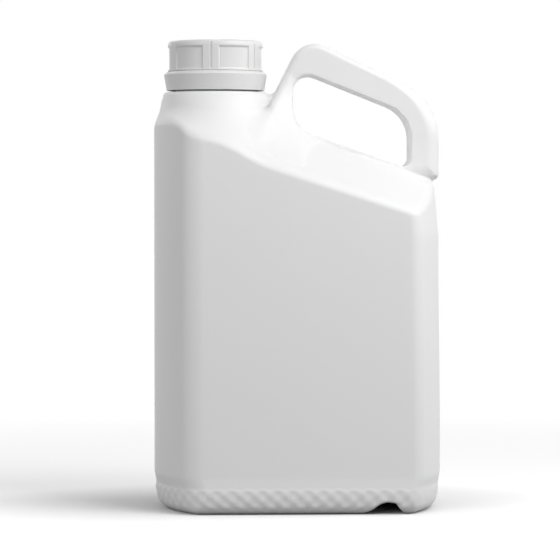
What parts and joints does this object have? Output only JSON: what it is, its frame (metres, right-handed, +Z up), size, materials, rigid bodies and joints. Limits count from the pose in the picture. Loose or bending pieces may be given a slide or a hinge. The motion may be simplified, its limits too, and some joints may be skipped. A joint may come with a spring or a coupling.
{
  "type": "plant growth regulator bottle",
  "caption": "Blow-moulded plastic bottle with an offset neck, a hollow loop handle and a screw cap with a tamper-evident ring, for storing and pouring a liquid.",
  "frame": {"origin": "centre of the bottle's footprint on the surface that it stands on", "axes": "+X towards the handle, +Y from the front label panel to the back one, +Z up"},
  "size_m": [0.194, 0.128, 0.315],
  "materials": {
    "bottle_hdpe": "blown HDPE, natural white, semi-matt",
    "cap_plastic": "injection-moulded HDPE, white, fine satin",
    "liner_foam": "expanded polyethylene sheet, matt"
  },
  "bodies": {
    "bottle_body": {"bottle": "bottle_hdpe", "tamper_ring": "cap_plastic"},
    "liner_body": {"cap_liner": "liner_foam"},
    "cap_body": {"screw_cap": "cap_plastic"}
  },
  "joints": [
    {"name": "cap_rise", "type": "slide", "parent": "bottle_body", "child": "liner_body", "axis": [0, 0, 1], "range_m": [0, 0.0242]},
    {"name": "cap_turn", "type": "hinge", "parent": "liner_body", "child": "cap_body", "pos_m": [-0.0555, 0, 0.3], "axis": [0, 0, 1], "range_deg": [0, 1440]}
  ],
  "couplings": [
    {"joint": "cap_rise", "follows": "cap_turn", "m_per_rad": 0.00095493}
  ]
}
